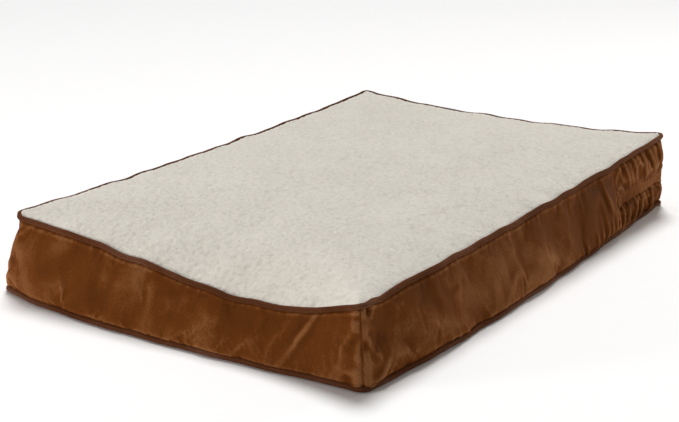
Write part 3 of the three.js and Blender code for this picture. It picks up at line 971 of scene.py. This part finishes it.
def brushed_suede(name, dark, middle, light, sheen):
    """Polyester microsuede: a sueded face whose short nap lies in brushed patches, with painted
    highlight on fold crests and painted shade in their hollows, and a soft sheen at glancing
    angles. Its nap is really near 0.3 mm, and is drawn coarser so that it shows."""
    made, tree, at = material(name)
    relief = node(tree, "ShaderNodeAttribute", attribute_name="relief").outputs["Fac"]
    patches = node(
        tree,
        "ShaderNodeTexNoise",
        {"Scale": 1 / (110 * MM), "Detail": 3.0, "Roughness": 0.5, "Distortion": 0.8},
        {"Vector": at},
    ).outputs["Fac"]
    nap_scale = {"Scale": 1 / (2.2 * MM), "Detail": 2.0}
    nap = node(tree, "ShaderNodeTexNoise", nap_scale, {"Vector": at}).outputs["Fac"]
    brushed = node(
        tree, "ShaderNodeMath", {1: 0.35}, {0: nap, 2: patches}, operation="MULTIPLY_ADD"
    ).outputs[0]
    # painted highlight on fold crests and painted shade in fold hollows: relief lightens or darkens
    # the nap patches' tone
    wear_nap_and_fold_shade = node(
        tree, "ShaderNodeMath", {1: 0.32}, {0: relief, 2: brushed}, operation="MULTIPLY_ADD"
    ).outputs[0]
    settings = {
        "Roughness": 0.6,
        "IOR": 1.15,
        "Specular IOR Level": 0.1,
        "Specular Tint": linear(sheen),
        "Sheen Weight": 0.08,
        "Sheen Roughness": 0.3,
        "Sheen Tint": linear(sheen),
    }
    stops = ((0.3, dark), (0.68, middle), (1.0, light))
    colour = node(tree, "ShaderNodeValToRGB", links={"Fac": wear_nap_and_fold_shade}, stops=stops).outputs["Color"]
    surface(tree, settings, {"Base Color": colour}, nap, 0.35, 0.4 * MM)
    return made


def sherpa_pile():
    """Polyester sherpa: curled pile, with a painted highlight on the tufts and painted shade
    between them. Single fibres are too fine to show, so small locks of them are drawn."""
    made, tree, at = material("sherpa_pile")
    nap = node(tree, "ShaderNodeAttribute", attribute_name="nap").outputs["Fac"]
    fibres = node(
        tree,
        "ShaderNodeTexNoise",
        {"Scale": 1 / (2.1 * MM), "Detail": 3.0, "Roughness": 0.65, "Distortion": 1.2},
        {"Vector": at},
    ).outputs["Fac"]
    drift_scale = {"Scale": 1 / (90 * MM), "Detail": 2.0}
    drift = node(tree, "ShaderNodeTexNoise", drift_scale, {"Vector": at}).outputs["Fac"]
    height = node(
        tree, "ShaderNodeMath", {1: 0.35}, {0: nap, 2: fibres}, operation="MULTIPLY_ADD"
    ).outputs[0]
    # painted highlight on the tufts and painted shade between them, from nap, over a slow random
    # drift in tone
    drift_and_tuft_shade = node(
        tree, "ShaderNodeMath", {1: 0.25}, {0: drift, 2: height}, operation="MULTIPLY_ADD"
    ).outputs[0]
    settings = {
        "Roughness": 0.95,
        "IOR": 1.45,
        "Specular IOR Level": 0.15,
        "Sheen Weight": 0.25,
        "Sheen Roughness": 0.6,
        "Sheen Tint": linear("#fbf8f2"),
    }
    stops = ((0.35, "#b2aca0"), (0.72, "#cfcabf"), (1.0, "#dedad0"))
    colour = node(tree, "ShaderNodeValToRGB", links={"Fac": drift_and_tuft_shade}, stops=stops).outputs["Color"]
    surface(tree, settings, {"Base Color": colour}, fibres, 0.8, 1.2 * MM)
    return made


def open_cell_foam(name, dark, light, cell):
    """Polyurethane foam: cut open cells of the given size, dull and slightly yellowed."""
    made, tree, at = material(name)
    cells = node(tree, "ShaderNodeTexVoronoi", {"Scale": 1 / cell}, {"Vector": at})
    depth = cells.outputs["Distance"]
    settings = {"Roughness": 0.95, "IOR": 1.45, "Specular IOR Level": 0.2}
    stops = ((0.1, dark), (0.5, light))
    colour = node(tree, "ShaderNodeValToRGB", links={"Fac": depth}, stops=stops).outputs["Color"]
    surface(tree, settings, {"Base Color": colour}, depth, 0.6, 0.6 * MM)
    return made


def spun_fibre(name, dark, light, size):
    """Carded or spun staple: a dull tangle of fibres, with locks of the given size."""
    made, tree, at = material(name)
    tangle = node(
        tree,
        "ShaderNodeTexNoise",
        {"Scale": 1 / size, "Detail": 5.0, "Roughness": 0.7, "Distortion": 2.5},
        {"Vector": at},
    ).outputs["Fac"]
    settings = {"Roughness": 0.97, "IOR": 1.45, "Specular IOR Level": 0.15}
    stops = ((0.3, dark), (0.65, light))
    colour = node(tree, "ShaderNodeValToRGB", links={"Fac": tangle}, stops=stops).outputs["Color"]
    surface(tree, settings, {"Base Color": colour}, tangle, 0.5, 1 * MM)
    return made


WAVE = 2 * math.pi / 20  # between a wave pattern's crests, at scale 1


def ribbed(name, dark, light, pitch, roughness, along_zip):
    """A zip's matte woven tape, ribbed lengthways, or its coil of shiny nylon monofilament, whose
    turns follow one another along the zip."""
    made, tree, at = material(name)
    parts = node(tree, "ShaderNodeSeparateXYZ", links={"Vector": at}).outputs
    both = {0: parts["X"], 1: parts["Y"]}
    way = node(tree, "ShaderNodeMath", links=both, operation="ADD").outputs[0]
    line = node(tree, "ShaderNodeCombineXYZ", links={"X": way if along_zip else parts["Z"]})
    ribs = node(
        tree,
        "ShaderNodeTexWave",
        {"Scale": WAVE / pitch, "Distortion": 0.0},
        {"Vector": line.outputs[0]},
    ).outputs["Fac"]
    stops = ((0.2, dark), (0.8, light))
    colour = node(tree, "ShaderNodeValToRGB", links={"Fac": ribs}, stops=stops).outputs["Color"]
    settings = {"Roughness": roughness, "IOR": 1.53}
    surface(tree, settings, {"Base Color": colour}, ribs, 0.7, 0.5 * MM)
    return made


def enamelled_zinc():
    """Die-cast zinc under brown enamel: a satin glint, and paler where it is rubbed."""
    made, tree, at = material("enamelled_zinc")
    wear = {"Scale": 1 / (2 * MM), "Detail": 4.0}
    wear_nap_and_fold_shade = node(tree, "ShaderNodeTexNoise", wear, {"Vector": at}).outputs["Fac"]
    limits = {"To Min": 0.28, "To Max": 0.5}
    rough = node(tree, "ShaderNodeMapRange", limits, {"Value": wear_nap_and_fold_shade}).outputs["Result"]
    stops = ((0.45, "#4a3a2e"), (0.75, "#7d6a58"))
    colour = node(tree, "ShaderNodeValToRGB", links={"Fac": wear_nap_and_fold_shade}, stops=stops).outputs["Color"]
    surface(tree, {"Metallic": 1.0}, {"Base Color": colour, "Roughness": rough})
    return made


def studio_paper():
    """Studio paper: matte and white, with hardly any grain."""
    made, tree, at = material("studio_paper")
    grain_scale = {"Scale": 1 / (25 * MM)}
    grain = node(tree, "ShaderNodeTexNoise", grain_scale, {"Vector": at}).outputs["Fac"]
    stops = ((0.0, "#fbfbfb"), (1.0, "#fdfdfd"))
    colour = node(tree, "ShaderNodeValToRGB", links={"Fac": grain}, stops=stops).outputs["Color"]
    surface(tree, {"Roughness": 0.9}, {"Base Color": colour})
    return made


def dress(finish, *objects):
    """Gives objects one finish."""
    for obj in objects:
        obj.data.materials.clear()
        obj.data.materials.append(finish)


suede = brushed_suede("microsuede", "#4f2b10", "#6a3b18", "#8e5f3a", "#b98058")
piping_suede = brushed_suede("piping_microsuede", "#442513", "#5a3622", "#725040", "#b07a58")
thread = spun_fibre("polyester_thread", "#4b2a17", "#6b432a", 0.8 * MM)
dress(suede, front_end_panel, right_side_panel, left_side_panel, base_panel)
dress(suede, zip_upper_strip, zip_lower_strip)
dress(piping_suede, top_piping, bottom_piping)
dress(thread, placket_stitches)
dress(sherpa_pile(), sherpa_top)
dress(spun_fibre("cotton_cord", "#b9b0a0", "#e6e0d4", 1.2 * MM), top_cord, bottom_cord)
dress(open_cell_foam("base_foam", "#c9c0a4", "#e6dfc8", 1.6 * MM), base_foam)
dress(open_cell_foam("egg_crate_foam", "#cdb982", "#ecdcab", 1.6 * MM), egg_crate_foam)
dress(spun_fibre("polyester_wadding", "#dcdad4", "#f6f5f1", 4 * MM), fibre_pad)
tape_finish = ribbed("zip_tape_weave", "#38200f", "#5a3820", 1.2 * MM, 0.8, False)
coil_finish = ribbed("nylon_coil", "#26150c", "#553523", 1.4 * MM, 0.35, True)
dress(tape_finish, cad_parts["zip_tape_upper"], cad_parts["zip_tape_lower"])
dress(coil_finish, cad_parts["zip_coil_upper"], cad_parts["zip_coil_lower"])
STOPS = ("zip_top_stop_upper", "zip_top_stop_lower", "zip_bottom_stop")
metal_parts = [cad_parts[name] for name in ("zip_slider", "zip_pull_tab", *STOPS)]
dress(enamelled_zinc(), *metal_parts)

# What each piece stands for

PIECES = (
    (sherpa_top, "sherpa_top_panel", "sherpa"),
    (base_panel, "base_panel", "microsuede"),
    (front_end_panel, "front_end_panel", "microsuede"),
    (right_side_panel, "right_side_panel", "microsuede"),
    (left_side_panel, "left_side_panel", "microsuede"),
    (zip_upper_strip, "zip_upper_strip", "microsuede"),
    (zip_lower_strip, "zip_lower_strip", "microsuede"),
    (top_piping, "top_piping_cover", "piping_suede"),
    (top_cord, "top_piping_cord", "filler_cord"),
    (bottom_piping, "bottom_piping_cover", "piping_suede"),
    (bottom_cord, "bottom_piping_cord", "filler_cord"),
    (base_foam, "base_foam", "base_foam"),
    (egg_crate_foam, "egg_crate_foam", "egg_crate_foam"),
    (fibre_pad, "fibre_fill_pad", "polyester_fibre"),
)
for piece, stands_for, slot in PIECES:
    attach(piece, "bed")
    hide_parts(stands_for)
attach(placket_stitches, "bed")

# Floor, light and camera

bpy.ops.mesh.primitive_plane_add(size=14, location=(0, 0, -0.0003))
floor = bpy.context.object
floor.name = "floor"
dress(studio_paper(), floor)


def softbox(name, location, target, size, power, colour="#ffffff"):
    """An area light turned towards a target."""
    light = bpy.data.lights.new(name, "AREA")
    light.shape = "RECTANGLE"
    light.size, light.size_y = size
    light.energy = power
    light.color = linear(colour)[:3]
    obj = bpy.data.objects.new(name, light)
    obj.location = location
    obj.rotation_euler = (Vector(target) - Vector(location)).to_track_quat("-Z", "Y").to_euler()
    bpy.context.scene.collection.objects.link(obj)


softbox("overhead", (-0.4, 0.4, 2.4), (0, 0, 0), (1.6, 1.6), 9)
softbox("front_left", (-1.6, -2.6, 0.4), (0, -0.3, 0.05), (0.7, 0.5), 39, "#fff4ee")
softbox("right_back", (1.35, 2.2, 0.35), (0.3, 0.1, 0.06), (0.3, 0.3), 19, "#fff2e0")
softbox("right_front", (2.6, -1.2, 0.5), (0.3, 0, 0.05), (0.6, 0.5), 3, "#fff2e0")

sun = bpy.data.lights.new("high_key", "SUN")
sun.energy = 2.5
sun.angle = math.radians(20)
key = bpy.data.objects.new("high_key", sun)
key.rotation_euler = Vector((0.32, -0.48, -1)).to_track_quat("-Z", "Y").to_euler()
bpy.context.scene.collection.objects.link(key)

world = bpy.data.worlds.new("studio")
world.use_nodes = True
world.node_tree.nodes["Background"].inputs["Color"].default_value = (1, 1, 1, 1)
world.node_tree.nodes["Background"].inputs["Strength"].default_value = 0.16
bpy.context.scene.world = world
bpy.context.scene.view_settings.view_transform = "Standard"

camera_data = bpy.data.cameras.new("camera")
camera_data.sensor_width = 36
camera_data.lens = 79.2
camera = bpy.data.objects.new("camera", camera_data)
camera.location = (1.217, -1.819, 0.751)
looks_at = Vector((-0.124, 0.112, 0))
camera.rotation_euler = (looks_at - camera.location).to_track_quat("-Z", "Y").to_euler()
bpy.context.scene.collection.objects.link(camera)
bpy.context.scene.camera = camera
